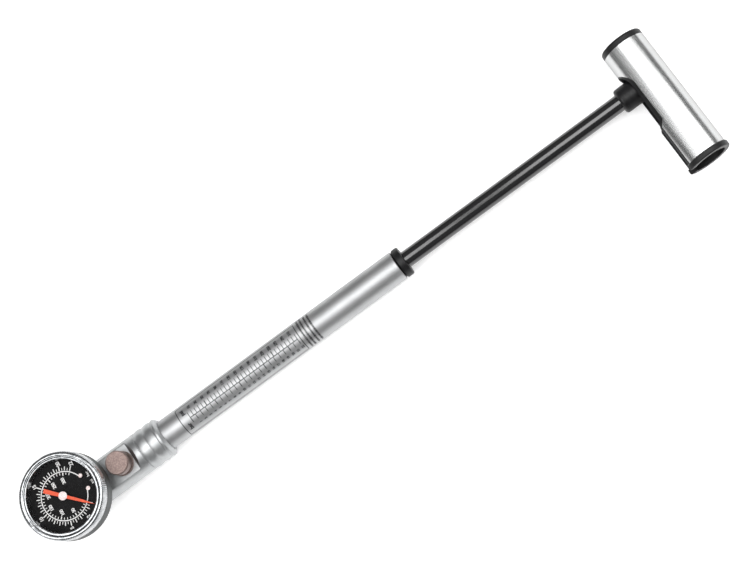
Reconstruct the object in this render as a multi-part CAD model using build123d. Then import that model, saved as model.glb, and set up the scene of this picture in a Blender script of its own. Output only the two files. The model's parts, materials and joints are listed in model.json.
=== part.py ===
from build123d import *
import math
import os

# Hand pump with a dial gauge, a sliding rod and a T-handle that folds in line with the rod.
# Millimetres. +X runs along the pump from the hose port to the handle, +Z is the way the
# dial faces, +Y points to the closed end of the handle. The origin is the centre of the
# hose port's mouth. The rod is drawn out and the handle stands square to it.

# Stations along the pump axis
GAUGE_X = 20.5
BLEED_X = 53.2
FLAT_END_X = 60.4
FLAT_WALL_RUN = 0.72
VALVE_CAVITY_X = 59.5
VALVE_SEAT_X = 67.0
RIB_NOTCHES_X = (66.4, 72.4, 78.3)
BARREL_X = 73.0
HEAD_END_X = 81.8
GLAND_X = 236.4
BARREL_END_X = 245.4
CAP_END_X = 250.5
CAP_CONE_LENGTH = 1.2
CAP_CHAMFER = 0.9
KNUCKLE_X = 398.5
HANDLE_X = 418.7

# Diameters and depths of the head
HEAD_R = 12.0
FLAT_Z = 8.0
RIB_R = 12.25
RIB_NOTCH_R = 11.55
RIB_END_R = 10.2
PORT_R = 3.5
PORT_DEPTH = 9.0
GALLERY_R = 1.25
BARREL_R = 9.0
BARREL_BORE_R = 7.0
BARREL_GASKET_R = (7.2, 8.8)
BARREL_GASKET_T = 1.0
EDGE_CHAMFER = 0.8
RIB_CREST = 0.55                  # where a rib is highest, as a share of its length
RIB_END_LENGTH = 1.2

# Non-return valve
CAVITY_R = 3.2
SEAT_PLUG_R = 5.2
SEAT_HOLE_R = 1.6
BALL_R = 2.5
BALL_X = 65.0

# Bleed button
GUIDE_FLANGE_R = 7.1
GUIDE_TOP_Z = 10.0
GUIDE_SPIGOT_R = 5.0
GUIDE_SPIGOT_Z = 3.2
GUIDE_NECK_R = 5.4
GUIDE_NECK_Z = 14.5
SPRING_WELL_R = 4.0
SPRING_WELL_Z = 7.0
STEM_R = 1.5
STEM_GAP = 0.1
POPPET_R = 2.6
POPPET_Z = (0.9, 2.5)
WELL_R = 3.2
WELL_Z = -2.6
BUTTON_R = 6.85
BUTTON_Z = (12.2, 18.2)
BUTTON_CEILING_Z = 16.8
BUTTON_BORE_R = 5.6

# Gauge
BEZEL_R = 25.0
BEZEL_WALL = 0.7
BEZEL_BACK_Z = 26.6
BEZEL_FRONT_Z = 34.0
WINDOW_R = 20.5
BEZEL_TOP_R = 22.8
CASE_R = 25.0
CASE_RIM_R = 24.2
CASE_SHELF_Z = 26.0
CASE_RIM_Z = 30.4
CASE_FLOOR_Z = 15.8
CASE_BORE_R = 22.0
NECK_R = 9.0
SOCKET_R = 4.5
SOCKET_Z = 1.5
DIAL_R = 22.6
DIAL_Z = 27.5
DIAL_T = 0.6
DIAL_HOLE_R = 1.0
DIAL_SUPPORT_BORE_R = 12.6
SCREW_SHANK_R = 0.5
SCREW_HEAD_R = 1.15
SCREW_HEAD_T = 0.5
LENS_Z = (32.2, 33.2)
SPACER_R = (20.3, 21.0)
TUBE_PATH_R = 15.0
TUBE_START_DEG = 197.4
TUBE_SWEEP_DEG = 222.6
LINK_END_DEG = 59.0
DIAL_SCREW_PATH_R = 14.5
DIAL_SCREW_DEG = (-17.5, 16.2)

# Movement: a toothed sector drives the pinion on the pointer's arbor
GEAR_MODULE = 0.3
PINION_TEETH = 10
SECTOR_TEETH = 70
GEAR_Z = (22.8, 24.2)
PLATE_T = 0.8
PLATE_LOW_Z = 21.2
PLATE_HIGH_Z = 25.2
ARBOR_R = 0.5
ARBOR_GAP = 0.06
POINTER_Z = 29.55
POINTER_T = 0.45
POINTER_TIP_R = 18.6
POINTER_TAIL_R = 11.8
ZERO_DEG = -48.4
HUB_R = 2.45
HUB_T = 0.5
TAIL_R = 5.0
TAIL_DEG = 70.5

# Rod, piston and gland
ROD_R = 5.0
ROD_BORE_R = 3.8
PISTON_X = (228.1, 233.7)
PISTON_R = 6.9
ROD_START_X = 233.9
PISTON_NECK_R = 3.0
RUNNING_GAP = 0.05
KNUCKLE_R = 7.5
KNUCKLE_ROUND = 1.8
KNUCKLE_BOSS_R = 5.5
KNUCKLE_HALF_WIDTH = 8.4
KNUCKLE_SOCKET_DEPTH = 11.0

# Handle
SHELL_R = 13.0
SHELL_BORE_R = 12.0
LINER_BORE_R = 10.3
HANDLE_TOP_Y = 28.0
SHELL_TOP_Y = 24.0
LINER_TOP_Y = 20.0
SHELL_LOW_Y = -52.2
HANDLE_LOW_Y = -55.6
COLLAR_R = 13.8
SHELL_SLOT_HALF = 10.5
SHELL_THROAT_HALF = 7.8
SHELL_ARCH_Y = 1.5
LINER_SLOT_HALF = 8.5
LINER_THROAT_HALF = 5.9
LINER_ARCH_Y = 2.5
WIDE_SLOT_Y = -23.8
THROAT_Y = -26.8
PIVOT_R = 2.0
PIN_HALF_LENGTH = 11.6

LOW = (Align.CENTER, Align.CENTER, Align.MIN)


def rod_x(radius, x0, x1):
    """Solid cylinder on the pump axis."""
    return Pos(x0, 0, 0) * Rot(0, 90, 0) * Cylinder(radius, x1 - x0, align=LOW)


def ring_x(outer, inner, x0, x1):
    return rod_x(outer, x0, x1) - rod_x(inner, x0 - 1, x1 + 1)


def rod_y(radius, y0, y1):
    """Solid cylinder on the handle's axis."""
    return Pos(HANDLE_X, y0, 0) * Rot(-90, 0, 0) * Cylinder(radius, y1 - y0, align=LOW)


def rod_z(radius, z0, z1, x, y=0.0):
    return Pos(x, y, z0) * Cylinder(radius, z1 - z0, align=LOW)


def ring_z(outer, inner, z0, z1, x, y=0.0):
    return rod_z(outer, z0, z1, x, y) - rod_z(inner, z0 - 1, z1 + 1, x, y)


def outline(points, rounds=None):
    """Closed outline; rounds gives a fillet radius for a point's index."""
    face = make_face(Polyline(*points, close=True))
    for index, radius in (rounds or {}).items():
        corner = face.vertices().sort_by_distance((*points[index], 0))[0]
        face = fillet(corner, radius)
    return face


def turned_x(points, rounds=None):
    """Turned part on the pump axis from (x, r) points."""
    return revolve(outline(points, rounds), Axis.X, 360)


def turned_z(points, x, rounds=None):
    """Turned part on a vertical axis at x from (r, z) points."""
    return Pos(x, 0, 0) * Rot(90, 0, 0) * revolve(outline(points, rounds), Axis.Y, 360)


def polar(radius, degrees, x=0.0, y=0.0):
    angle = math.radians(degrees)
    return (x + radius * math.cos(angle), y + radius * math.sin(angle))


def coil(mean_r, wire_r, length, turns):
    """Round-wire compression spring standing on the XY plane."""
    path = Helix(pitch=(length - 2 * wire_r) / turns, height=length - 2 * wire_r, radius=mean_r)
    section = Plane(path @ 0, z_dir=path % 0) * Circle(wire_r)
    return Pos(0, 0, wire_r) * sweep(section, path=path, is_frenet=True)


# ---------------------------------------------------------------- head

def make_head_body():
    """Turned head: a smooth neck, three shallow ribs parted by notches, and a milled flat."""
    first, second, third = RIB_NOTCHES_X
    last = HEAD_END_X - RIB_END_LENGTH
    profile = Polyline(
        (first, RIB_NOTCH_R), (first - 0.35, HEAD_R), (EDGE_CHAMFER, HEAD_R),
        (0, HEAD_R - EDGE_CHAMFER), (0, 0), (HEAD_END_X, 0), (HEAD_END_X, RIB_END_R),
        (last, RIB_NOTCH_R))
    for start, end in ((first, second), (second, third), (third, last)):
        crest = start + RIB_CREST * (end - start)
        profile += ThreePointArc((start, RIB_NOTCH_R), (crest, RIB_R), (end, RIB_NOTCH_R))
    body = revolve(make_face(profile), Axis.X, 360)
    rise = HEAD_R - FLAT_Z + 1
    side = Plane.XZ * outline([
        (-1, FLAT_Z), (FLAT_END_X, FLAT_Z),
        (FLAT_END_X + rise * FLAT_WALL_RUN, FLAT_Z + rise), (-1, FLAT_Z + rise)])
    body -= extrude(side, HEAD_R + 1, both=True)
    long_edges = body.edges().filter_by(GeomType.LINE).filter_by(Axis.X)
    body = chamfer(long_edges.filter_by_position(Axis.Z, FLAT_Z - 0.1, FLAT_Z + 0.1), 0.3)
    body -= rod_x(PORT_R, -1, PORT_DEPTH)
    body -= rod_x(GALLERY_R, PORT_DEPTH - 1, VALVE_CAVITY_X + 1)
    body -= rod_z(SOCKET_R, SOCKET_Z, HEAD_R + 1, GAUGE_X)
    body -= rod_z(GALLERY_R, 0, SOCKET_Z + 1, GAUGE_X)
    body -= rod_z(GUIDE_SPIGOT_R, GUIDE_SPIGOT_Z, HEAD_R + 1, BLEED_X)
    body -= rod_z(WELL_R, WELL_Z, GUIDE_SPIGOT_Z + 1, BLEED_X)
    body -= rod_x(CAVITY_R, VALVE_CAVITY_X, VALVE_SEAT_X + 1)
    body -= rod_x(SEAT_PLUG_R, VALVE_SEAT_X, BARREL_X + 1)
    body -= rod_x(BARREL_R, BARREL_X, HEAD_END_X + 1)
    body -= ring_x(BARREL_GASKET_R[1], BARREL_GASKET_R[0], BARREL_X - BARREL_GASKET_T, BARREL_X)
    return body


def make_barrel():
    tube = ring_x(BARREL_R, BARREL_BORE_R, BARREL_X, BARREL_END_X)
    return chamfer(tube.edges().filter_by(GeomType.CIRCLE).group_by(Axis.X)[-1], 0.25)


def make_barrel_gasket():
    return ring_x(BARREL_GASKET_R[1], BARREL_GASKET_R[0], BARREL_X - BARREL_GASKET_T, BARREL_X)


def make_valve_seat():
    plug = ring_x(SEAT_PLUG_R, SEAT_HOLE_R, VALVE_SEAT_X, BARREL_X)
    slot = Pos(BARREL_X, 0, 0) * Box(2.0, 2 * SEAT_PLUG_R + 1, 1.2)
    return plug - slot


def make_valve_ball():
    return Pos(BALL_X, 0, 0) * Sphere(BALL_R)


def make_valve_spring():
    free = 3.4
    return Pos(VALVE_CAVITY_X + 0.05, 0, 0) * Rot(0, 90, 0) * coil(1.7, 0.25, free, 3)


# ---------------------------------------------------------------- bleed valve

def make_bleed_guide():
    guide = rod_z(GUIDE_FLANGE_R, FLAT_Z, GUIDE_TOP_Z, BLEED_X)
    guide = chamfer(guide.edges().filter_by(GeomType.CIRCLE).group_by(Axis.Z)[-1], 0.35)
    guide += rod_z(GUIDE_SPIGOT_R, GUIDE_SPIGOT_Z, FLAT_Z, BLEED_X)
    guide += rod_z(GUIDE_NECK_R, GUIDE_TOP_Z, GUIDE_NECK_Z, BLEED_X)
    guide -= rod_z(SPRING_WELL_R, SPRING_WELL_Z, GUIDE_NECK_Z + 1, BLEED_X)
    guide -= rod_z(STEM_R + STEM_GAP, GUIDE_SPIGOT_Z - 1, SPRING_WELL_Z + 1, BLEED_X)
    return guide - make_bleed_gasket()


def make_bleed_gasket():
    return ring_z(GUIDE_SPIGOT_R + 1.4, GUIDE_SPIGOT_R + 0.2, FLAT_Z, FLAT_Z + 0.8, BLEED_X)


def make_bleed_button():
    cap = rod_z(BUTTON_R, BUTTON_Z[0], BUTTON_Z[1], BLEED_X)
    cap = chamfer(cap.edges().filter_by(GeomType.CIRCLE).group_by(Axis.Z)[-1], 0.6)
    cap -= rod_z(BUTTON_BORE_R, BUTTON_Z[0] - 1, BUTTON_CEILING_Z, BLEED_X)
    return cap - rod_z(STEM_R, BUTTON_CEILING_Z - 1, BUTTON_CEILING_Z + 0.6, BLEED_X)


def make_bleed_stem():
    stem = rod_z(STEM_R, POPPET_Z[0], BUTTON_CEILING_Z + 0.6, BLEED_X)
    return stem + rod_z(POPPET_R, POPPET_Z[0], POPPET_Z[1], BLEED_X)


def make_bleed_seal():
    return ring_z(POPPET_R, STEM_R, POPPET_Z[1], GUIDE_SPIGOT_Z - RUNNING_GAP, BLEED_X)


def make_bleed_spring():
    free = BUTTON_CEILING_Z - SPRING_WELL_Z - 0.1
    return Pos(BLEED_X, 0, SPRING_WELL_Z + 0.05) * coil(2.9, 0.35, free, 6)


# ---------------------------------------------------------------- gauge shell

def make_gauge_case():
    """Cup with a stepped rim: the dial support stands on its shelf, the bezel grips its rim."""
    rim_bore_r = CASE_RIM_R - 1.1
    return turned_z([
        (SOCKET_R + 0.1, FLAT_Z), (NECK_R, FLAT_Z), (NECK_R, 12.6), (CASE_R, 14.4),
        (CASE_R, BEZEL_BACK_Z - 0.3), (CASE_RIM_R, BEZEL_BACK_Z - 0.3), (CASE_RIM_R, CASE_RIM_Z),
        (rim_bore_r, CASE_RIM_Z), (rim_bore_r, CASE_SHELF_Z), (CASE_BORE_R, CASE_SHELF_Z),
        (CASE_BORE_R, CASE_FLOOR_Z), (SOCKET_R + 0.1, CASE_FLOOR_Z)], GAUGE_X, {2: 1.6, 3: 6.0, 10: 4.0})


def make_gauge_bezel():
    inner = BEZEL_R - BEZEL_WALL
    return turned_z([
        (inner, BEZEL_BACK_Z), (BEZEL_R, BEZEL_BACK_Z), (BEZEL_R, BEZEL_FRONT_Z),
        (BEZEL_TOP_R, BEZEL_FRONT_Z), (WINDOW_R, LENS_Z[1] + 0.35), (WINDOW_R, LENS_Z[1]),
        (inner, LENS_Z[1])], GAUGE_X, {2: 1.4, 3: 1.0})


def make_lens_gasket():
    return ring_z(CASE_RIM_R, CASE_RIM_R - 1.3, CASE_RIM_Z, LENS_Z[0], GAUGE_X)


def make_gauge_lens():
    return rod_z(CASE_RIM_R - 0.1, LENS_Z[0], LENS_Z[1], GAUGE_X)


def make_spacer_ring():
    """Bright tapered ring that holds the dial down and stands under the lens."""
    outer = CASE_RIM_R - 1.4
    return turned_z([
        (SPACER_R[0], DIAL_Z), (outer, DIAL_Z), (outer, LENS_Z[0]), (SPACER_R[1], LENS_Z[0])], GAUGE_X)


def make_dial_support():
    ring = ring_z(CASE_RIM_R - 1.2, DIAL_SUPPORT_BORE_R, CASE_SHELF_Z, DIAL_Z - DIAL_T, GAUGE_X)
    for degrees in DIAL_SCREW_DEG:
        x, y = polar(DIAL_SCREW_PATH_R, degrees, GAUGE_X)
        ring -= rod_z(SCREW_SHANK_R, 0, DIAL_Z, x, y)
    return ring


def make_dial_plate():
    plate = ring_z(DIAL_R, DIAL_HOLE_R, DIAL_Z - DIAL_T, DIAL_Z, GAUGE_X)
    for degrees in DIAL_SCREW_DEG:
        x, y = polar(DIAL_SCREW_PATH_R, degrees, GAUGE_X)
        plate -= rod_z(SCREW_SHANK_R, 0, DIAL_Z + 1, x, y)
    return plate


def make_dial_screws():
    screws = []
    for degrees in DIAL_SCREW_DEG:
        x, y = polar(DIAL_SCREW_PATH_R, degrees, GAUGE_X)
        top = DIAL_Z + SCREW_HEAD_T
        screw = rod_z(SCREW_SHANK_R, CASE_SHELF_Z + 0.2, DIAL_Z, x, y)
        screw += rod_z(SCREW_HEAD_R, DIAL_Z, top, x, y)
        screw -= Pos(x, y, top) * Rot(0, 0, degrees + 40) * Box(2.6, 0.35, 0.4)
        screws.append(screw.solid())
    return Compound(children=screws)


# ---------------------------------------------------------------- gauge movement

SECTOR_PITCH_R = GEAR_MODULE * SECTOR_TEETH / 2
PINION_PITCH_R = GEAR_MODULE * PINION_TEETH / 2
PIVOT_Y = SECTOR_PITCH_R + PINION_PITCH_R
BLOCK_W = 8.4


def make_gauge_socket():
    block = Pos(GAUGE_X - 6.0, 0, CASE_FLOOR_Z) * Box(21.0, BLOCK_W, PLATE_LOW_Z - CASE_FLOOR_Z, align=LOW)
    block -= ring_z(40, 16.6, CASE_FLOOR_Z - 1, PLATE_LOW_Z + 1, GAUGE_X)
    stem = rod_z(SOCKET_R, SOCKET_Z, CASE_FLOOR_Z, GAUGE_X)
    passage = rod_z(GALLERY_R, SOCKET_Z - 1, CASE_FLOOR_Z + 2.4, GAUGE_X)
    cross = Pos(GAUGE_X - TUBE_PATH_R, 0, CASE_FLOOR_Z + 2.4) * Rot(0, 90, 0) * Cylinder(
        0.8, TUBE_PATH_R, align=LOW)
    return block + stem - passage - cross


def tube_arc(radial, height, sweep_deg):
    flat = Pos(TUBE_PATH_R, (CASE_FLOOR_Z + PLATE_LOW_Z) / 2 - 0.3) * RectangleRounded(
        radial, height, radial * 0.45)
    arc = Rot(90, 0, 0) * revolve(flat, Axis.Y, sweep_deg)
    return arc


def make_bourdon_tube():
    arc = tube_arc(1.6, 4.4, TUBE_SWEEP_DEG) - tube_arc(0.8, 3.6, TUBE_SWEEP_DEG - 4)
    return Pos(GAUGE_X, 0, 0) * Rot(0, 0, TUBE_START_DEG) * arc


def movement_plate(z0):
    plate = Pos(GAUGE_X, 4.3, z0) * extrude(RectangleRounded(8.0, 21.0, 1.5), PLATE_T)
    plate -= rod_z(ARBOR_R + ARBOR_GAP, z0 - 1, z0 + 2, GAUGE_X)
    return plate - rod_z(ARBOR_R + ARBOR_GAP, z0 - 1, z0 + 2, GAUGE_X, PIVOT_Y)


PILLARS = ((GAUGE_X - 2.6, 13.4), (GAUGE_X + 2.6, 13.4), (GAUGE_X, -4.8))


def make_movement_lower_plate():
    return movement_plate(PLATE_LOW_Z)


def make_movement_upper_plate():
    return movement_plate(PLATE_HIGH_Z)


def make_movement_pillars():
    low = PLATE_LOW_Z + PLATE_T
    return Compound(children=[rod_z(0.7, low, PLATE_HIGH_Z, x, y).solid() for x, y in PILLARS])


def tooth(pitch_r, centre_deg, widths):
    """Points of one tooth, clockwise side first; widths at root, pitch circle and tip."""
    radii = (pitch_r - 1.25 * GEAR_MODULE, pitch_r, pitch_r + 0.85 * GEAR_MODULE)
    half = [math.degrees(width / 2 / radius) for width, radius in zip(widths, radii)]
    rising = [polar(radius, centre_deg - h) for radius, h in zip(radii, half)]
    falling = [polar(radius, centre_deg + h) for radius, h in zip(radii[::-1], half[::-1])]
    return rising + falling


def make_pinion():
    points = []
    for k in range(PINION_TEETH):
        points += tooth(PINION_PITCH_R, 90 + 360 * k / PINION_TEETH, (0.44, 0.36, 0.14))
    gear = extrude(outline(points), GEAR_Z[1] - GEAR_Z[0])
    pinion = Pos(GAUGE_X, 0, GEAR_Z[0]) * gear
    arbor = rod_z(ARBOR_R, PLATE_LOW_Z + 0.1, POINTER_Z + POINTER_T, GAUGE_X)
    return pinion + arbor


def make_sector_gear():
    pitch_deg = 360 / SECTOR_TEETH
    points = []
    for k in range(-10, 2):
        centre = -90 + (k + 0.5) * pitch_deg
        points += tooth(SECTOR_PITCH_R, centre, (0.52, 0.36, 0.16))
    first = -90 - 9.9 * pitch_deg
    last = -90 + 1.9 * pitch_deg
    inner_r = SECTOR_PITCH_R - 1.6
    steps = 8
    for k in range(steps + 1):
        points.append(polar(inner_r, last + (first - last) * k / steps))
    thick = GEAR_Z[1] - GEAR_Z[0]
    rim = extrude(outline(points), thick)
    middle = (first + last) / 2
    arm = Rot(0, 0, middle) * Pos(inner_r / 2 + 0.2, 0, 0) * Box(inner_r + 0.4, 2.4, thick, align=LOW)
    tail = Rot(0, 0, TAIL_DEG) * Pos(TAIL_R / 2, 0, 0) * Box(TAIL_R, 1.3, thick, align=LOW)
    tail_x, tail_y = polar(TAIL_R, TAIL_DEG)
    hub = Cylinder(1.3, thick, align=LOW)
    eye = Pos(tail_x, tail_y, 0) * Cylinder(0.8, thick, align=LOW)
    body = Pos(GAUGE_X, PIVOT_Y, GEAR_Z[0]) * (rim + arm + tail + hub + eye)
    body += rod_z(ARBOR_R, PLATE_LOW_Z + 0.1, PLATE_HIGH_Z + PLATE_T - 0.1, GAUGE_X, PIVOT_Y)
    return body - rod_z(0.35, 0, 40, GAUGE_X + tail_x, PIVOT_Y + tail_y)


def make_tube_link():
    tail_x, tail_y = polar(TAIL_R, TAIL_DEG, GAUGE_X, PIVOT_Y)
    end_x, end_y = polar(TUBE_PATH_R, LINK_END_DEG, GAUGE_X)
    length = math.dist((tail_x, tail_y), (end_x, end_y))
    turn = math.degrees(math.atan2(end_y - tail_y, end_x - tail_x))
    z0 = PLATE_LOW_Z + 0.2
    strip = extrude(SlotCenterToCenter(length, 1.0), 0.6)
    bar = Pos(tail_x, tail_y, z0) * Rot(0, 0, turn) * Pos(length / 2, 0, 0) * strip
    return bar + rod_z(0.35, z0, GEAR_Z[1] + 0.3, tail_x, tail_y)


def make_pointer():
    blade = outline([
        (-POINTER_TAIL_R, -1.25), (0, -0.95), (11.5, -0.75), (POINTER_TIP_R, -0.08),
        (POINTER_TIP_R, 0.08), (11.5, 0.75), (0, 0.95), (-POINTER_TAIL_R, 1.25)])
    blade = extrude(blade, POINTER_T)
    pointer = Pos(GAUGE_X, 0, POINTER_Z) * Rot(0, 0, ZERO_DEG) * blade
    pointer -= rod_z(ARBOR_R, POINTER_Z - 1, POINTER_Z + 2, GAUGE_X)
    return pointer


def make_pointer_hub():
    seat_z = POINTER_Z + POINTER_T
    hub = rod_z(HUB_R, seat_z, seat_z + HUB_T, GAUGE_X)
    slot = Pos(GAUGE_X, 0, seat_z + HUB_T) * Rot(0, 0, ZERO_DEG + 60) * Box(5.0, 0.4, 0.4)
    return hub - slot


# ---------------------------------------------------------------- rod and piston

def make_rod_tube():
    return ring_x(ROD_R, ROD_BORE_R, ROD_START_X, KNUCKLE_X + KNUCKLE_SOCKET_DEPTH)


def make_rod_end_plug():
    plug = rod_x(ROD_BORE_R, ROD_START_X, ROD_START_X + 9.0)
    plug += rod_x(PISTON_NECK_R, PISTON_X[0] - 0.2, ROD_START_X)
    return plug - rod_x(1.25, PISTON_X[0] - 1, ROD_START_X + 4.0)


def make_piston():
    piston = ring_x(PISTON_R, PISTON_NECK_R + RUNNING_GAP, PISTON_X[0], PISTON_X[1])
    return piston - ring_x(PISTON_R + 1, 5.3, PISTON_X[0] + 1.7, PISTON_X[1] - 1.7)


def make_piston_o_ring():
    mid = (PISTON_X[0] + PISTON_X[1]) / 2
    return Pos(mid, 0, 0) * Rot(0, 90, 0) * Torus(6.13, 0.8)


def make_piston_washer():
    return ring_x(4.6, 1.25, PISTON_X[0] - 0.7, PISTON_X[0] - 0.2)


def make_piston_screw():
    head_x = PISTON_X[0] - 0.7
    screw = rod_x(2.5, head_x - 1.8, head_x) + rod_x(1.25, head_x, ROD_START_X + 3.0)
    return screw - Pos(head_x - 1.8, 0, 0) * Box(1.4, 6.0, 0.6)


def make_top_out_bumper():
    return ring_x(6.4, ROD_R, ROD_START_X + 0.1, GLAND_X - 0.3)


def make_gland_cap():
    """Screwed cap that closes the barrel: an insert and an outer ring that starts as a cone."""
    body = rod_x(BARREL_BORE_R, GLAND_X, BARREL_END_X)
    cap = body + turned_x([
        (BARREL_END_X, 0), (BARREL_END_X, BARREL_BORE_R + 0.5), (BARREL_END_X + CAP_CONE_LENGTH, BARREL_R),
        (CAP_END_X, BARREL_R), (CAP_END_X, 0)], {3: CAP_CHAMFER})
    cap -= rod_x(ROD_R + RUNNING_GAP, GLAND_X - 1, CAP_END_X + 1)
    cap -= rod_x(6.0, GLAND_X - 1, BARREL_END_X - 1.5)
    cap -= ring_x(BARREL_BORE_R + 1, 6.3, BARREL_END_X - 3.2, BARREL_END_X - 1.8)
    return cap - make_rod_wiper()


def make_rod_bushing():
    return ring_x(6.0, ROD_R + RUNNING_GAP, GLAND_X, BARREL_END_X - 1.5)


def make_rod_wiper():
    return ring_x(6.3, ROD_R + RUNNING_GAP, CAP_END_X - 2.6, CAP_END_X - 1.0)


def make_gland_o_ring():
    return Pos(BARREL_END_X - 2.5, 0, 0) * Rot(0, 90, 0) * Torus(6.65, 0.34)


def make_knuckle():
    body = turned_x([(KNUCKLE_X, 0), (KNUCKLE_X, KNUCKLE_R), (HANDLE_X, KNUCKLE_R), (HANDLE_X, 0)],
                    {1: KNUCKLE_ROUND})
    body += Pos(HANDLE_X, 0, 0) * Sphere(KNUCKLE_R)
    body += rod_z(KNUCKLE_BOSS_R, -KNUCKLE_HALF_WIDTH, KNUCKLE_HALF_WIDTH, HANDLE_X)
    body -= ring_x(KNUCKLE_R + 1, KNUCKLE_R - 0.3, KNUCKLE_X + 2.1, KNUCKLE_X + 2.4)
    body -= rod_x(ROD_R, KNUCKLE_X - 1, KNUCKLE_X + KNUCKLE_SOCKET_DEPTH)
    return body - rod_z(PIVOT_R + RUNNING_GAP, -10, 10, HANDLE_X)


# ---------------------------------------------------------------- handle

def slot_cutter(half, throat_half, arch_y):
    """Slot seen along X: an arch, a wide part and a narrower throat to the open end."""
    low = HANDLE_LOW_Y - 2
    side = outline([
        (arch_y, -half), (arch_y, half), (WIDE_SLOT_Y, half), (THROAT_Y, throat_half),
        (low, throat_half), (low, -throat_half), (THROAT_Y, -throat_half), (WIDE_SLOT_Y, -half)])
    side += Pos(arch_y, 0) * Circle(half)
    plane = Plane(origin=(HANDLE_X - 16, 0, 0), x_dir=(0, 1, 0), z_dir=(1, 0, 0))
    return extrude(plane * side, 15.5)


def shell_slot():
    return slot_cutter(SHELL_SLOT_HALF, SHELL_THROAT_HALF, SHELL_ARCH_Y)


def make_handle_shell():
    shell = rod_y(SHELL_R, SHELL_LOW_Y, SHELL_TOP_Y) - rod_y(SHELL_BORE_R, SHELL_LOW_Y - 1, SHELL_TOP_Y + 1)
    return shell - shell_slot()


def make_handle_liner():
    """Inner sleeve whose lips fill the edges of the shell's slot, with a collar at the open end."""
    liner = rod_y(SHELL_BORE_R, SHELL_LOW_Y, LINER_TOP_Y)
    liner += rod_y(SHELL_R, SHELL_LOW_Y, LINER_TOP_Y) & shell_slot()
    collar = rod_y(COLLAR_R, HANDLE_LOW_Y, SHELL_LOW_Y)
    liner += chamfer(collar.edges().filter_by(GeomType.CIRCLE), 0.5)
    liner -= rod_y(LINER_BORE_R, HANDLE_LOW_Y - 1, LINER_TOP_Y + 1)
    liner -= slot_cutter(LINER_SLOT_HALF, LINER_THROAT_HALF, LINER_ARCH_Y)
    return liner - make_pivot_pin()


def make_handle_end_cap():
    cap = rod_y(SHELL_R, SHELL_TOP_Y, HANDLE_TOP_Y)
    cap = fillet(cap.edges().filter_by(GeomType.CIRCLE).group_by(Axis.Y)[-1], 1.3)
    return cap + rod_y(SHELL_BORE_R, LINER_TOP_Y, SHELL_TOP_Y)


def make_pivot_pin():
    return rod_z(PIVOT_R, -PIN_HALF_LENGTH, PIN_HALF_LENGTH, HANDLE_X)


NODES = {
    "head_body": make_head_body,
    "barrel": make_barrel,
    "barrel_gasket": make_barrel_gasket,
    "valve_seat": make_valve_seat,
    "valve_ball": make_valve_ball,
    "valve_spring": make_valve_spring,
    "bleed_guide": make_bleed_guide,
    "bleed_gasket": make_bleed_gasket,
    "bleed_button": make_bleed_button,
    "bleed_stem": make_bleed_stem,
    "bleed_seal": make_bleed_seal,
    "bleed_spring": make_bleed_spring,
    "gauge_case": make_gauge_case,
    "gauge_bezel": make_gauge_bezel,
    "lens_gasket": make_lens_gasket,
    "gauge_lens": make_gauge_lens,
    "spacer_ring": make_spacer_ring,
    "dial_support": make_dial_support,
    "dial_plate": make_dial_plate,
    "dial_screws": make_dial_screws,
    "gauge_socket": make_gauge_socket,
    "bourdon_tube": make_bourdon_tube,
    "movement_lower_plate": make_movement_lower_plate,
    "movement_upper_plate": make_movement_upper_plate,
    "movement_pillars": make_movement_pillars,
    "sector_gear": make_sector_gear,
    "tube_link": make_tube_link,
    "pinion": make_pinion,
    "pointer": make_pointer,
    "pointer_hub": make_pointer_hub,
    "gland_cap": make_gland_cap,
    "rod_bushing": make_rod_bushing,
    "rod_wiper": make_rod_wiper,
    "gland_o_ring": make_gland_o_ring,
    "piston": make_piston,
    "piston_o_ring": make_piston_o_ring,
    "rod_tube": make_rod_tube,
    "rod_end_plug": make_rod_end_plug,
    "piston_washer": make_piston_washer,
    "piston_screw": make_piston_screw,
    "top_out_bumper": make_top_out_bumper,
    "knuckle": make_knuckle,
    "handle_shell": make_handle_shell,
    "handle_liner": make_handle_liner,
    "handle_end_cap": make_handle_end_cap,
    "pivot_pin": make_pivot_pin,
}

os.makedirs("parts", exist_ok=True)
for name, make in NODES.items():
    export_step(make(), f"parts/{name}.step")
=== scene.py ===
"""High-pressure hand pump with a dial gauge: looks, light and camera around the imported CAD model.

Metres, in the CAD frame: +X from the hose port to the handle, +Z the way the dial faces,
+Y to the handle's closed end. The origin is the hose port's mouth.
"""

import json
import math
import random

import bmesh
import bpy
from mathutils import Matrix, Vector


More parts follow.
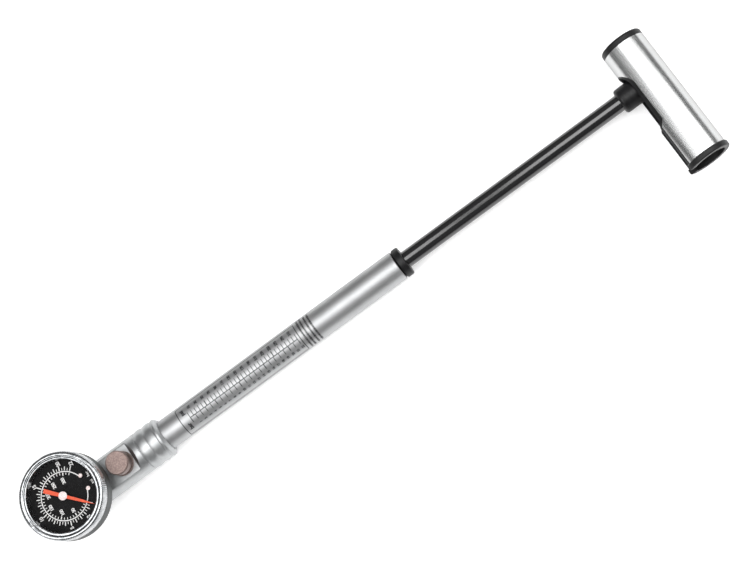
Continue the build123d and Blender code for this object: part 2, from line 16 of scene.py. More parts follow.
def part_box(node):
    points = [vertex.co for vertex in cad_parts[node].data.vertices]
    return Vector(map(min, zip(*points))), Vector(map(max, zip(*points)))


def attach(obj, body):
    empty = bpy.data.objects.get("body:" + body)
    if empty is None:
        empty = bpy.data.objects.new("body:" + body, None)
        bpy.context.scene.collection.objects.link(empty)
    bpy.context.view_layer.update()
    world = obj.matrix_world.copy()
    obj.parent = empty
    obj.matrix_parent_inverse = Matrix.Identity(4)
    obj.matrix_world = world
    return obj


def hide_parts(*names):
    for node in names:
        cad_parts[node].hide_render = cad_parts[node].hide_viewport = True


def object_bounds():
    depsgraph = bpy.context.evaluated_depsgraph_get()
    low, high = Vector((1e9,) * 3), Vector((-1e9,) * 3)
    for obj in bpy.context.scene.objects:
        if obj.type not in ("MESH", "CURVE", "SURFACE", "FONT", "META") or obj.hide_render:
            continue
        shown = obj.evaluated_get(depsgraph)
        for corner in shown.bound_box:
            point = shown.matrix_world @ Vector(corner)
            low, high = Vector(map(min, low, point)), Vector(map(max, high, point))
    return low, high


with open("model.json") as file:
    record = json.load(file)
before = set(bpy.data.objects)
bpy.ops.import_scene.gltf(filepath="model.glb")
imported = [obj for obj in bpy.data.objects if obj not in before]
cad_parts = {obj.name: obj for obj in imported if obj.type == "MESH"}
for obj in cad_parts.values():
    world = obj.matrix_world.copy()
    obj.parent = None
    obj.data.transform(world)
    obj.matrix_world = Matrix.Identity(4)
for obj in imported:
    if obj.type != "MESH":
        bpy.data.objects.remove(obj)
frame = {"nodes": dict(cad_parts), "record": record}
cad_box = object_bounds()

MM = 0.001
BODY = "pump_body"


def centre(node):
    low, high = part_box(node)
    return (low + high) / 2


GAUGE = centre("gauge_lens")
DIAL_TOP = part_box("dial_plate")[1].z
BUTTON = centre("bleed_button")
BARREL_LOW, BARREL_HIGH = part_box("barrel")
BARREL_R = (BARREL_HIGH.y - BARREL_LOW.y) / 2
HEAD_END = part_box("head_body")[1].x


# ---------------------------------------------------------------- camera

VIEW_TILT = math.radians(13.0)      # the dial leans this far from the lens about the pump axis
VIEW_YAW = math.radians(4.5)        # the handle end is this much nearer the lens
VIEW_ROLL = math.radians(36.23)     # the pump axis climbs this much across the frame
CAMERA_DISTANCE = 1.1254
CAMERA_LENS = 96.0                  # millimetres of focal length
AIM = Vector((0.2294, 0.00035, 0.00008))


def make_camera():
    """Look at AIM with the pump's axis rolled up across the frame."""
    tilt, yaw, roll = VIEW_TILT, VIEW_YAW, VIEW_ROLL
    along = Vector((math.cos(yaw), math.sin(tilt) * math.sin(yaw), -math.cos(tilt) * math.sin(yaw)))
    across = Vector((0.0, math.cos(tilt), math.sin(tilt)))
    back = Vector((math.sin(yaw), -math.sin(tilt) * math.cos(yaw), math.cos(tilt) * math.cos(yaw)))
    right = math.cos(roll) * along - math.sin(roll) * across
    up = math.sin(roll) * along + math.cos(roll) * across
    turn = Matrix((right, up, back)).transposed().to_4x4()
    data = bpy.data.cameras.new("camera")
    data.lens = CAMERA_LENS
    camera = bpy.data.objects.new("camera", data)
    camera.matrix_world = Matrix.Translation(AIM + back * CAMERA_DISTANCE) @ turn
    bpy.context.scene.collection.objects.link(camera)
    bpy.context.scene.camera = camera


# ---------------------------------------------------------------- material nodes

WAVE_SCALE = 0.314                  # divided by the spacing in metres, the wave texture's scale
# Where the noise, which keeps near its middle, starts and ends each change.
COLOR_SPAN = (0.35, 0.65)
ROUGHNESS_SPAN = (0.3, 0.7)


class Surface:
    """A procedural material: one Principled shader and helpers that feed it."""

    def __init__(self, name, color, roughness, metallic=0.0, **sockets):
        self.material = bpy.data.materials.new(name)
        self.material.use_nodes = True
        self.tree = self.material.node_tree
        self.shader = self.tree.nodes["Principled BSDF"]
        self.shader.inputs["Base Color"].default_value = (*color, 1.0)
        self.shader.inputs["Roughness"].default_value = roughness
        self.shader.inputs["Metallic"].default_value = metallic
        for socket, value in sockets.items():
            self.shader.inputs[socket.replace("_", " ")].default_value = value
        self.place = self.node("ShaderNodeTexCoord").outputs["Object"]
        self.last_bump = None

    def node(self, kind, **settings):
        made = self.tree.nodes.new(kind)
        for key, value in settings.items():
            setattr(made, key, value)
        return made

    def join(self, source, target):
        self.tree.links.new(source, target)

    def mapped(self, scale=(1, 1, 1), location=(0, 0, 0)):
        """Object coordinates, moved so that location is the texture's origin, then scaled."""
        shift = self.node("ShaderNodeVectorMath", operation="SUBTRACT")
        shift.inputs[1].default_value = location
        self.join(self.place, shift.inputs[0])
        mapping = self.node("ShaderNodeMapping")
        mapping.inputs["Scale"].default_value = scale
        self.join(shift.outputs[0], mapping.inputs["Vector"])
        return mapping.outputs["Vector"]

    def noise(self, scale, detail, rough=0.5, stretch=(1, 1, 1)):
        made = self.node("ShaderNodeTexNoise")
        made.inputs["Scale"].default_value = scale
        made.inputs["Detail"].default_value = detail
        made.inputs["Roughness"].default_value = rough
        self.join(self.mapped(stretch), made.inputs["Vector"])
        return made.outputs["Fac"]

    def rings(self, spacing, location):
        """Turning marks: circles about a line along Z through location."""
        made = self.node("ShaderNodeTexWave", wave_type="RINGS", rings_direction="Z")
        made.inputs["Scale"].default_value = WAVE_SCALE / spacing
        made.inputs["Distortion"].default_value = 0.6
        made.inputs["Detail"].default_value = 2.0
        self.join(self.mapped(location=location), made.inputs["Vector"])
        return made.outputs["Fac"]

    def bands(self, spacing):
        """Turning marks on a bar that lies along X."""
        made = self.node("ShaderNodeTexWave", wave_type="BANDS", bands_direction="X")
        made.inputs["Scale"].default_value = WAVE_SCALE / spacing
        made.inputs["Distortion"].default_value = 0.4
        self.join(self.mapped(), made.inputs["Vector"])
        return made.outputs["Fac"]

    def vary_color(self, source, first, second):
        ramp = self.node("ShaderNodeValToRGB")
        stops = ramp.color_ramp.elements
        stops[0].position, stops[1].position = COLOR_SPAN
        stops[0].color = (*first, 1.0)
        stops[1].color = (*second, 1.0)
        self.join(source, ramp.inputs["Fac"])
        self.join(ramp.outputs["Color"], self.shader.inputs["Base Color"])

    def vary_roughness(self, source, low, high):
        made = self.node("ShaderNodeMapRange")
        made.inputs["From Min"].default_value = ROUGHNESS_SPAN[0]
        made.inputs["From Max"].default_value = ROUGHNESS_SPAN[1]
        made.inputs["To Min"].default_value = low
        made.inputs["To Max"].default_value = high
        self.join(source, made.inputs["Value"])
        self.join(made.outputs["Result"], self.shader.inputs["Roughness"])

    def bump(self, source, distance):
        made = self.node("ShaderNodeBump")
        made.inputs["Distance"].default_value = distance
        made.inputs["Strength"].default_value = 1.0
        self.join(source, made.inputs["Height"])
        if self.last_bump:
            self.join(self.last_bump.outputs["Normal"], made.inputs["Normal"])
        self.last_bump = made
        self.join(made.outputs["Normal"], self.shader.inputs["Normal"])


LINE_STRETCH = 0.02                 # noise scale along a brushed line; across it is 1
INK_THIN = 0.92                     # tone of thin ink against full ink
# How much of a grazing reflection each metal keeps.
BARREL_EDGE = 0.85
HANDLE_EDGE = 0.55
CASE_EDGE = 0.40


def set_edge_tone(surface, edge):
    """Grey level of a metal's reflection at a grazing angle; 1 is full white."""
    surface.shader.inputs["Specular Tint"].default_value = (edge, edge, edge, 1.0)


def blasted_metal(name, dark, light, roughness, grain=0.006):
    """Bead-blasted, anodised aluminium: fine even grain, faint cloudy tone."""
    surface = Surface(name, light, roughness, 1.0)
    surface.vary_color(surface.noise(90, 4), dark, light)
    surface.vary_roughness(surface.noise(2500, 2), roughness - 0.05, roughness + 0.07)
    surface.bump(surface.noise(6500, 2), grain * MM)
    return surface


def brushed_metal(name, dark, light, roughness, along, line=0.004, spread=0.07):
    """Metal with fine lines that run along one axis: 0 is X, 1 is Y, 2 is Z."""
    stretch = [1.0, 1.0, 1.0]
    stretch[along] = LINE_STRETCH
    surface = Surface(name, light, roughness, 1.0)
    grain = surface.noise(3200, 3, 0.6, stretch)
    surface.vary_color(grain, dark, light)
    surface.vary_roughness(grain, roughness - spread, roughness + spread)
    surface.bump(grain, line * MM)
    return surface


def moulded_plastic(name, dark, light, roughness, grain=0.012, scale=1800):
    """Plastic or rubber with a fine moulded grain and a weak sheen."""
    surface = Surface(name, light, roughness, Specular_IOR_Level=0.3)
    surface.vary_color(surface.noise(140, 4), dark, light)
    surface.vary_roughness(surface.noise(900, 3), roughness - 0.06, roughness + 0.10)
    surface.bump(surface.noise(scale, 3), grain * MM)
    return surface


def ink(name, color):
    """Printed ink, a little uneven."""
    surface = Surface(name, color, 0.55)
    surface.vary_color(surface.noise(2500, 3), [c * INK_THIN for c in color], color)
    surface.vary_roughness(surface.noise(4000, 2), 0.45, 0.65)
    surface.bump(surface.noise(7000, 2), 0.002 * MM)
    return surface.material


def make_materials():
    """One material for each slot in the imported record."""
    made = {}
    head = blasted_metal("head_satin", (0.40, 0.41, 0.415), (0.48, 0.49, 0.495), 0.44)
    head.bump(head.bands(0.16 * MM), 0.0012 * MM)
    made["head_aluminium"] = head.material
    barrel = blasted_metal("barrel_satin", (0.43, 0.435, 0.44), (0.47, 0.475, 0.48), 0.48, 0.004)
    set_edge_tone(barrel, BARREL_EDGE)
    made["barrel_aluminium"] = barrel.material
    handle = brushed_metal(
        "handle_brushed", (0.56, 0.565, 0.565), (0.60, 0.605, 0.605), 0.25, 1, 0.0003, 0.03)
    set_edge_tone(handle, HANDLE_EDGE)
    made["handle_aluminium"] = handle.material
    chrome = Surface("bezel_chrome", (0.50, 0.51, 0.52), 0.16, 1.0)
    chrome.vary_color(chrome.noise(300, 4), (0.24, 0.25, 0.26), (0.48, 0.49, 0.50))
    chrome.vary_roughness(chrome.noise(1200, 3), 0.10, 0.22)
    chrome.bump(chrome.noise(700, 3), 0.05 * MM)
    made["bezel_chrome"] = chrome.material
    spacer = Surface("spacer_bright", (0.62, 0.63, 0.64), 0.22, 1.0)
    spacer.vary_color(spacer.noise(900, 4), (0.50, 0.51, 0.52), (0.74, 0.75, 0.76))
    spacer.vary_roughness(spacer.noise(1500, 3), 0.14, 0.30)
    spacer.bump(spacer.noise(1100, 3), 0.10 * MM)
    made["spacer_bright"] = spacer.material
    case = blasted_metal("case_satin", (0.15, 0.155, 0.155), (0.19, 0.195, 0.195), 0.40, 0.008)
    set_edge_tone(case, CASE_EDGE)
    made["case_grey"] = case.material
    lens = Surface("lens_clear", (0.004, 0.004, 0.004), 0.05, Alpha=0.07)
    lens.vary_roughness(lens.noise(500, 3), 0.02, 0.07)
    lens.bump(lens.noise(60, 2), 0.004 * MM)
    made["lens_clear"] = lens.material
    dial = Surface("dial_enamel", (0.004, 0.004, 0.004), 0.55, Specular_IOR_Level=0.15)
    dial.vary_color(dial.noise(400, 3), (0.003, 0.003, 0.0033), (0.006, 0.006, 0.0065))
    dial.vary_roughness(dial.noise(1500, 3), 0.50, 0.62)
    dial.bump(dial.noise(3500, 2), 0.002 * MM)
    made["dial_black"] = dial.material
    red = Surface("pointer_lacquer", (0.90, 0.09, 0.03), 0.45)
    red.vary_color(red.noise(900, 3), (0.86, 0.085, 0.025), (0.98, 0.13, 0.045))
    red.vary_roughness(red.noise(2500, 2), 0.32, 0.45)
    red.bump(red.noise(5000, 2), 0.002 * MM)
    made["pointer_red"] = red.material
    brass = Surface("turned_brass", (0.72, 0.50, 0.36), 0.30, 1.0)
    brass.vary_color(brass.noise(900, 3), (0.62, 0.42, 0.32), (0.80, 0.60, 0.48))
    brass.vary_roughness(brass.noise(2500, 2), 0.22, 0.38)
    brass.bump(brass.rings(0.12 * MM, GAUGE), 0.0015 * MM)
    made["brass"] = brass.material
    rose = Surface("rose_turned", (0.86, 0.74, 0.72), 0.34, 0.6)
    rose.vary_color(rose.noise(1200, 3), (0.78, 0.62, 0.60), (0.93, 0.85, 0.84))
    rose.vary_roughness(rose.noise(2500, 2), 0.26, 0.42)
    rose.bump(rose.rings(0.5 * MM, GAUGE), 0.010 * MM)
    made["rose_metal"] = rose.material
    copper = Surface("copper_anodised", (0.30, 0.20, 0.17), 0.42, 0.85)
    copper.vary_color(copper.noise(1400, 4), (0.20, 0.145, 0.13), (0.31, 0.235, 0.215))
    copper.vary_roughness(copper.noise(2200, 3), 0.34, 0.52)
    copper.bump(copper.rings(0.35 * MM, BUTTON), 0.006 * MM)
    made["copper_anodised"] = copper.material
    made["steel"] = brushed_metal(
        "ground_steel", (0.48, 0.49, 0.50), (0.58, 0.59, 0.61), 0.28, 0).material
    rod = Surface("rod_gloss_black", (0.005, 0.005, 0.0055), 0.14, IOR=1.8)
    rod_lines = rod.noise(200, 3, stretch=(0.05, 1, 1))
    rod.vary_color(rod_lines, (0.004, 0.004, 0.0045), (0.007, 0.007, 0.0075))
    rod.vary_roughness(rod.noise(2200, 3, stretch=(0.1, 1, 1)), 0.11, 0.18)
    rod.bump(rod.noise(3000, 2, stretch=(0.05, 1, 1)), 0.0015 * MM)
    made["rod_black"] = rod.material
    made["black_plastic"] = moulded_plastic(
        "black_moulding", (0.004, 0.004, 0.0043), (0.008, 0.008, 0.0085), 0.42).material
    made["acetal_white"] = moulded_plastic(
        "white_acetal", (0.76, 0.76, 0.72), (0.86, 0.86, 0.82), 0.40, 0.004).material
    made["black_rubber"] = moulded_plastic(
        "black_rubber", (0.012, 0.012, 0.012), (0.024, 0.024, 0.024), 0.70, 0.010, 3000).material
    return made


MATERIALS = make_materials()
WHITE_INK = ink("dial_white_ink", (0.97, 0.97, 0.96))
BLACK_INK = ink("barrel_black_ink", (0.018, 0.018, 0.020))


def dress_cad_nodes():
    for part in frame["record"]["subparts"]:
        mesh = frame["nodes"][part["node"]].data
        mesh.materials.clear()
        mesh.materials.append(MATERIALS[part["material_slot"]])


# ---------------------------------------------------------------- mesh helpers

def place_on_body(name, mesh, material):
    """Object made from a mesh, fixed to the pump's body."""
    mesh.materials.append(material)
    piece = bpy.data.objects.new(name, mesh)
    bpy.context.scene.collection.objects.link(piece)
    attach(piece, BODY)
    return piece


FONT_SIZE = 1.42                    # font size over the height of a figure
FONT_STEPS = 3
WELD = 1e-7                         # points of a print this close become one


class Print:
    """Flat shapes in a plane, given a little thickness: (u, v) points and faces."""

    def __init__(self):
        self.verts = []
        self.faces = []

    def add(self, points, faces):
        start = len(self.verts)
        self.verts += points
        self.faces += [tuple(start + i for i in face) for face in faces]

    def quad(self, a, b, c, d):
        self.add([a, b, c, d], [(0, 1, 2, 3)])

    def strip(self, left, right):
        for i in range(len(left) - 1):
            self.quad(left[i], left[i + 1], right[i + 1], right[i])

    def line(self, a, b, width, step=None):
        """A straight bar from a to b, cut into lengths of step so that it can be wrapped."""
        a, b = Vector(a), Vector(b)
        side = (b - a).normalized().orthogonal() * width / 2
        count = max(1, math.ceil((b - a).length / step)) if step else 1
        points = [a.lerp(b, i / count) for i in range(count + 1)]
        self.strip([tuple(p + side) for p in points], [tuple(p - side) for p in points])

    def arc(self, radius, start, end, width, steps):
        angles = [math.radians(start + (end - start) * i / steps) for i in range(steps + 1)]
        inner, outer = radius - width / 2, radius + width / 2
        self.strip([(inner * math.cos(a), inner * math.sin(a)) for a in angles],
                   [(outer * math.cos(a), outer * math.sin(a)) for a in angles])

    def text(self, words, lettering, place, angle):
        """Generic figures or unit words, centred on place and turned by angle (radians).

        lettering is the height in millimetres, the letter spacing as a factor and the
        millimetres added round each stroke.
        """
        height, spacing, weight = lettering
        curve = bpy.data.curves.new("words", "FONT")
        curve.body = words
        curve.size = height * MM * FONT_SIZE
        curve.space_character = spacing
        curve.align_x = "CENTER"
        curve.align_y = "CENTER"
        curve.resolution_u = FONT_STEPS
        curve.offset = weight * MM
        holder = bpy.data.objects.new("words", curve)
        bpy.context.scene.collection.objects.link(holder)
        mesh = bpy.data.meshes.new_from_object(holder)
        turn = Matrix.Rotation(angle, 2)
        points = [tuple(turn @ v.co.xy + Vector(place)) for v in mesh.vertices]
        self.add(points, [tuple(p.vertices) for p in mesh.polygons])
        bpy.data.objects.remove(holder)
        bpy.data.curves.remove(curve)
        bpy.data.meshes.remove(mesh)

    def solid(self, name, place, thickness, material):
        """place(u, v, h) puts a point of the print at height h above the surface."""
        flat = bmesh.new()
        verts = [flat.verts.new((u, v, 0)) for u, v in self.verts]
        for face in self.faces:
            flat.faces.new([verts[i] for i in face])
        bmesh.ops.remove_doubles(flat, verts=flat.verts, dist=WELD)
        bmesh.ops.recalc_face_normals(flat, faces=flat.faces)
        grown = bmesh.ops.extrude_face_region(flat, geom=flat.faces[:])
        for element in grown["geom"]:
            if isinstance(element, bmesh.types.BMVert):
                element.co.z = thickness
        for vert in flat.verts:
            vert.co = place(vert.co.x, vert.co.y, vert.co.z)
        bmesh.ops.recalc_face_normals(flat, faces=flat.faces)
        mesh = bpy.data.meshes.new(name)
        flat.to_mesh(mesh)
        flat.free()
        place_on_body(name, mesh, material)


# ---------------------------------------------------------------- dial

DIAL_ZERO = -48.4                  # degrees from +X to the zero mark
DEG_PER_BAR = -12.15
BAR_TOP = 22                       # both scales end at the same mark
PSI_TOP = 320
DEG_PER_PSI = DEG_PER_BAR * BAR_TOP / PSI_TOP
DIAL_UP = math.radians(84.0)       # the way the figures' baselines run
RING_R = 13.7 * MM
RING_WIDTH = 0.55 * MM
RING_STEPS = 120
SCREW_ANGLES = (-17.5, 16.2)       # degrees; the ring stops SCREW_GAP short of each screw
SCREW_GAP = 4.0
BAR_TICK_FOOT = 14.3 * MM
# Radius of a tick's tip and its width, in millimetres: every fifth bar, every bar, every half.
BAR_TICKS = {"five": (17.0, 0.62), "whole": (16.5, 0.50), "half": (15.7, 0.36)}
PSI_TICK_FOOT = 13.1 * MM
PSI_TICKS = {"fifty": (11.4, 0.58), "ten": (11.9, 0.40)}
BAR_FIGURES = (2, 5, 10, 15, 20, 22)
BAR_FIGURE_R = 18.3 * MM
# Each psi figure and its radius in millimetres; they don't share one circle.
PSI_FIGURES = ((50, 9.6), (100, 9.2), (150, 10.0), (200, 9.6), (250, 8.6), (300, 8.5))
UNIT_R = 17.9 * MM
UNIT_ANGLES = {"psi": -8.0, "bar": 8.0}
BAR_LETTERING = (2.1, 0.92, 0.09)
PSI_LETTERING = (1.9, 0.88, 0.08)
UNIT_LETTERING = (1.5, 1.1, 0.06)
DIAL_LIFT = 0.01 * MM
DIAL_INK = 0.03 * MM


def dial_spot(radius, degrees):
    angle = math.radians(degrees)
    return (radius * math.cos(angle), radius * math.sin(angle))


def make_dial_print():
    """Bar marks outside the ring, psi marks inside it, and their figures and units."""
    marks = Print()
    marks.arc(RING_R, SCREW_ANGLES[1] + SCREW_GAP, 360 + SCREW_ANGLES[0] - SCREW_GAP,
              RING_WIDTH, RING_STEPS)
    for half_bar in range(2 * BAR_TOP + 1):
        degrees = DIAL_ZERO + DEG_PER_BAR * half_bar / 2
        kind = "five" if half_bar % 10 == 0 else "whole" if half_bar % 2 == 0 else "half"
        tip, width = BAR_TICKS[kind]
        marks.line(dial_spot(BAR_TICK_FOOT, degrees), dial_spot(tip * MM, degrees), width * MM)
    for ten_psi in range(PSI_TOP // 10 + 1):
        degrees = DIAL_ZERO + DEG_PER_PSI * ten_psi * 10
        tip, width = PSI_TICKS["fifty" if ten_psi % 5 == 0 else "ten"]
        marks.line(dial_spot(PSI_TICK_FOOT, degrees), dial_spot(tip * MM, degrees), width * MM)
    for bar in BAR_FIGURES:
        spot = dial_spot(BAR_FIGURE_R, DIAL_ZERO + DEG_PER_BAR * bar)
        marks.text(str(bar), BAR_LETTERING, spot, DIAL_UP)
    for psi, radius in PSI_FIGURES:
        spot = dial_spot(radius * MM, DIAL_ZERO + DEG_PER_PSI * psi)
        marks.text(str(psi), PSI_LETTERING, spot, DIAL_UP)
    for unit, degrees in UNIT_ANGLES.items():
        marks.text(unit, UNIT_LETTERING, dial_spot(UNIT_R, degrees), DIAL_UP)

    def place(u, v, h):
        return (GAUGE.x + u, GAUGE.y + v, DIAL_TOP + DIAL_LIFT + h)
    marks.solid("dial_print", place, DIAL_INK, WHITE_INK)


# ---------------------------------------------------------------- barrel print

LABEL_X = (HEAD_END + 12.67 * MM, HEAD_END + 95.65 * MM)
SCALE_X = (HEAD_END + 18.75 * MM, HEAD_END + 93.96 * MM)
LABEL_TURN = math.radians(-13.0)    # the label's middle line, from +Z towards +Y
LABEL_EDGE = (math.radians(-63.5), math.radians(60.0))
QUARTER = math.radians(90)
FRAME_LINE = 0.50 * MM
WRAP_STEP = 0.5 * MM                # lines round the barrel are cut into lengths of this
TICK_WIDTH = 0.42 * MM
PSI_TICK_END = 3.4 * MM
PSI_TICK_BOLD = 0.62 * MM           # at 50, 150 and 250
BAR_TICK_END = -3.1 * MM
BAR_TICK_BOLD = 0.56 * MM           # at every fifth bar
PSI_FIGURE_V = 5.8 * MM
BAR_FIGURE_V = -5.7 * MM
UNIT_INSET = 3.2 * MM
BARREL_UNIT_V = {"psi": 4.9 * MM, "bar": -4.2 * MM}
BARREL_PSI_LETTERING = (1.7, 0.9, 0.11)
BARREL_BAR_LETTERING = (1.55, 0.9, 0.10)
BARREL_UNIT_LETTERING = (2.3, 1.0, 0.16)
BARREL_LIFT = 0.015 * MM
BARREL_INK = 0.02 * MM
NOTE_ROWS_X = (98.25, 100.4, 103.0, 105.35)   # millimetres past the head's end
NOTE_EDGE = (-1.13, 1.12)           # radians round the barrel
NOTE_STEP = 0.4 * MM


def wrap_on_barrel(u, v, h):
    """u runs along the barrel, v round it from the label's middle line."""
    angle = LABEL_TURN + v / BARREL_R
    radius = BARREL_R + BARREL_LIFT + h
    return (u, radius * math.sin(angle), radius * math.cos(angle))


def make_barrel_print():
    """Framed label: one line along the barrel with psi marks on one side and bar on the other."""
    marks = Print()
    low, high = LABEL_X
    below, above = (angle * BARREL_R for angle in LABEL_EDGE)
    marks.line((low, below), (high, below), FRAME_LINE)
    marks.line((low, above), (high, above), FRAME_LINE)
    marks.line((low, below), (low, above), FRAME_LINE, WRAP_STEP)
    marks.line((high, below), (high, above), FRAME_LINE, WRAP_STEP)
    start, end = SCALE_X
    marks.line((start, 0), (end, 0), FRAME_LINE)
    for ten_psi in range(PSI_TOP // 10 + 1):
        x = start + (end - start) * ten_psi / (PSI_TOP / 10)
        width = PSI_TICK_BOLD if ten_psi % 10 == 5 else TICK_WIDTH
        marks.line((x, 0), (x, PSI_TICK_END), width, WRAP_STEP)
    for bar in range(BAR_TOP + 1):
        x = start + (end - start) * bar / BAR_TOP
        width = BAR_TICK_BOLD if bar % 5 == 0 else TICK_WIDTH
        marks.line((x, 0), (x, BAR_TICK_END), width, WRAP_STEP)
    for psi in range(10, PSI_TOP, 20):
        x = start + (end - start) * psi / PSI_TOP
        marks.text(str(psi), BARREL_PSI_LETTERING, (x, PSI_FIGURE_V), QUARTER)
    for bar in range(1, BAR_TOP + 1):
        x = start + (end - start) * bar / BAR_TOP
        marks.text(str(bar), BARREL_BAR_LETTERING, (x, BAR_FIGURE_V), QUARTER)
    for unit, v in BARREL_UNIT_V.items():
        marks.text(unit, BARREL_UNIT_LETTERING, (low + UNIT_INSET, v), QUARTER)
    marks.solid("barrel_scale_print", wrap_on_barrel, BARREL_INK, BLACK_INK)


def make_note_lines():
    """Four lines round the barrel that stand for small print: plain dashes, no words."""
    marks = Print()
    dashes = random.Random(7)
    for row in NOTE_ROWS_X:
        x = HEAD_END + row * MM
        v = NOTE_EDGE[0] * BARREL_R
        while v < NOTE_EDGE[1] * BARREL_R:
            length = dashes.uniform(0.5, 1.5) * MM
            tall = dashes.uniform(1.0, 1.45) * MM
            marks.line((x, v), (x, v + length), tall, NOTE_STEP)
            v += length + dashes.uniform(0.20, 0.34) * MM
    marks.solid("barrel_note_lines", wrap_on_barrel, BARREL_INK, BLACK_INK)


# ---------------------------------------------------------------- bezel

RIM_DEPTH = 0.7 * MM                # from the knurled rim in to the ring's inner wall
WINDOW_R = 20.5 * MM
ROLL_R = 1.75 * MM                  # the rolled front edge
ROLL_STEPS = 8
RIM_STEPS = 6
RIM_END = 1.9 * MM                  # the straight rim stops this far below the front
RIM_FOOT = 0.35 * MM
FOOT_INSET = 0.25 * MM
LENS_GAP = 0.01 * MM
# The front's dished lip, radius and depth below the front in millimetres, going inwards.
LIP = ((22.9, 0.0), (22.5, 0.12), (22.2, 0.44), (21.9, 0.50), (21.5, 0.40), (21.0, 0.36),
       (20.7, 0.46))
LIP_END = 0.62 * MM
KNURL_TEETH = 150
STEPS_PER_TOOTH = 4
KNURL_DEPTH = 0.16 * MM
KNURL_INSET = 0.9 * MM              # points further in than this aren't knurled
KNURL_FOOT = 0.3 * MM               # the knurl starts this far above the ring's back
KNURL_TOP = 0.5 * MM                # and ends this far below its front


def turn_profile(points, segments, place, ripple):
    """Closed ring from (r, z) points; ripple(r, z, i) gives a point's radius."""
    verts, faces = [], []
    count = len(points)
    for i in range(segments):
        angle = 2 * math.pi * i / segments
        for r, z in points:
            radius = ripple(r, z, i)
            verts.append(place + Vector((radius * math.cos(angle), radius * math.sin(angle), z)))
    for i in range(segments):
        for j in range(count):
            a = i * count + j
            b = i * count + (j + 1) % count
            c = (i + 1) % segments * count + (j + 1) % count
            d = (i + 1) % segments * count + j
            faces.append((a, b, c, d))
    return verts, faces


def make_bezel():
    """Rolled chrome ring with a finely knurled rim."""
    low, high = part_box("gauge_bezel")
    outer = (high.x - low.x) / 2
    inner = outer - RIM_DEPTH
    back, front = low.z, high.z
    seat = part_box("gauge_lens")[1].z + LENS_GAP
    rim_length = front - RIM_END - back
    points = [(inner, back), (outer - FOOT_INSET, back), (outer, back + RIM_FOOT)]
    points += [(outer, back + rim_length * k / RIM_STEPS) for k in range(1, RIM_STEPS + 1)]
    for k in range(1, ROLL_STEPS + 1):
        a = math.radians(90 * k / ROLL_STEPS)
        points.append((outer - ROLL_R + ROLL_R * math.cos(a),
                       front - ROLL_R + ROLL_R * math.sin(a)))
    points += [(r * MM, front - depth * MM) for r, depth in LIP]
    points += [(WINDOW_R, front - LIP_END), (WINDOW_R, seat), (inner, seat)]

    def knurl(r, z, i):
        on_rim = r >= outer - KNURL_INSET and back + KNURL_FOOT <= z <= front - KNURL_TOP
        in_groove = i % STEPS_PER_TOOTH in (0, 1)
        return r - KNURL_DEPTH if on_rim and in_groove else r

    origin = Vector((GAUGE.x, GAUGE.y, 0))
    verts, faces = turn_profile(points, KNURL_TEETH * STEPS_PER_TOOTH, origin, knurl)
    mesh = bpy.data.meshes.new("bezel_ring")
    mesh.from_pydata(verts, [], faces)
    made = bmesh.new()
    made.from_mesh(mesh)
    bmesh.ops.recalc_face_normals(made, faces=made.faces)
    made.to_mesh(mesh)
    made.free()
    for polygon in mesh.polygons:
        polygon.use_smooth = True
    ring = place_on_body("bezel_ring", mesh, MATERIALS["bezel_chrome"])
    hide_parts("gauge_bezel")


# ---------------------------------------------------------------- studio

SOFTBOX_Z = 1.5
# Each panel's x range and y range. The gauge's lens would mirror a panel near x -0.4, y 0.35.
SOFTBOXES = {
    "soft_left": ((-2.30, 0.23), (-0.55, 0.25)),
    "soft_right": ((0.33, 3.20), (-0.55, 0.50)),
    "soft_fill": ((-0.20, 0.23), (0.25, 0.50)),
}
SOFTBOX_RADIANCE = 4.0
SKY_HORIZON = 0.18
SKY_ZENITH = 0.22
FLOOR_GLOW = 0.42
FLOOR_HALF = 4.0
FLOOR_DROP = 0.05 * MM              # keeps the paper just clear of the pump


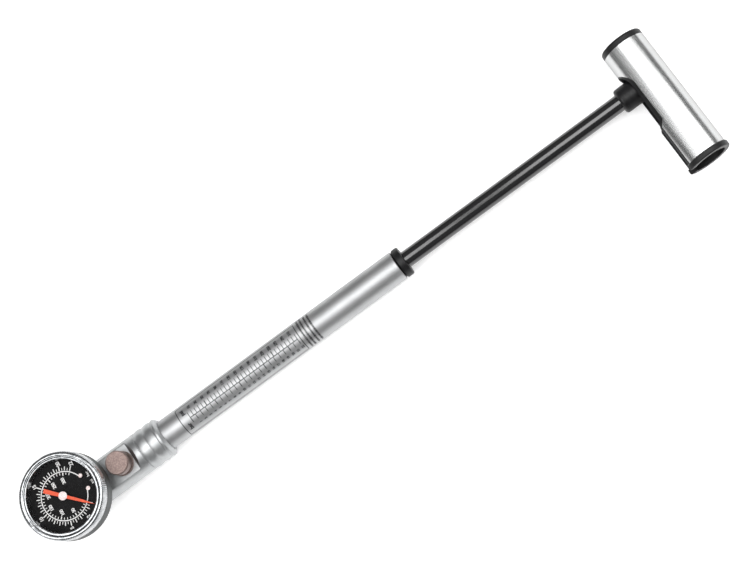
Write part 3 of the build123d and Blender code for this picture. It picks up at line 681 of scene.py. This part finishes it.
def make_softbox(name, x_range, y_range):
    """Flat light panel overhead; the lens looks down between the panels."""
    data = bpy.data.lights.new(name, "AREA")
    data.shape = "RECTANGLE"
    data.size = x_range[1] - x_range[0]
    data.size_y = y_range[1] - y_range[0]
    data.energy = SOFTBOX_RADIANCE * math.pi * data.size * data.size_y
    light = bpy.data.objects.new(name, data)
    light.location = (sum(x_range) / 2, sum(y_range) / 2, SOFTBOX_Z)
    bpy.context.scene.collection.objects.link(light)


def make_sky():
    """Even grey room, a little lighter overhead than at the horizon."""
    world = bpy.data.worlds.new("studio")
    world.use_nodes = True
    tree = world.node_tree
    place = tree.nodes.new("ShaderNodeTexCoord")
    split = tree.nodes.new("ShaderNodeSeparateXYZ")
    height = tree.nodes.new("ShaderNodeMapRange")
    height.inputs["From Min"].default_value = 0.2
    height.inputs["From Max"].default_value = 0.8
    height.inputs["To Min"].default_value = SKY_HORIZON
    height.inputs["To Max"].default_value = SKY_ZENITH
    tree.links.new(place.outputs["Generated"], split.inputs[0])
    tree.links.new(split.outputs["Z"], height.inputs["Value"])
    tree.links.new(height.outputs["Result"], tree.nodes["Background"].inputs["Strength"])
    tree.nodes["Background"].inputs["Color"].default_value = (1, 1, 1, 1)
    bpy.context.scene.world = world


def make_studio():
    """Pale paper that glows a little, a grey room and the light panels."""
    floor_z = cad_box[0].z - FLOOR_DROP
    mesh = bpy.data.meshes.new("studio_floor")
    corners = [(AIM.x + x * FLOOR_HALF, y * FLOOR_HALF, floor_z)
               for x, y in ((-1, -1), (1, -1), (1, 1), (-1, 1))]
    mesh.from_pydata(corners, [], [(0, 1, 2, 3)])
    paper = Surface("floor_paper", (0.90, 0.90, 0.90), 0.8)
    paper.vary_color(paper.noise(3, 3), (0.89, 0.89, 0.89), (0.91, 0.91, 0.91))
    paper.shader.inputs["Emission Color"].default_value = (1, 1, 1, 1)
    paper.shader.inputs["Emission Strength"].default_value = FLOOR_GLOW
    mesh.materials.append(paper.material)
    floor = bpy.data.objects.new("studio_floor", mesh)
    bpy.context.scene.collection.objects.link(floor)
    make_sky()
    for name, (x_range, y_range) in SOFTBOXES.items():
        make_softbox(name, x_range, y_range)
    bpy.context.scene.view_settings.view_transform = "Standard"


make_camera()
dress_cad_nodes()
make_dial_print()
make_barrel_print()
make_note_lines()
make_bezel()
make_studio()
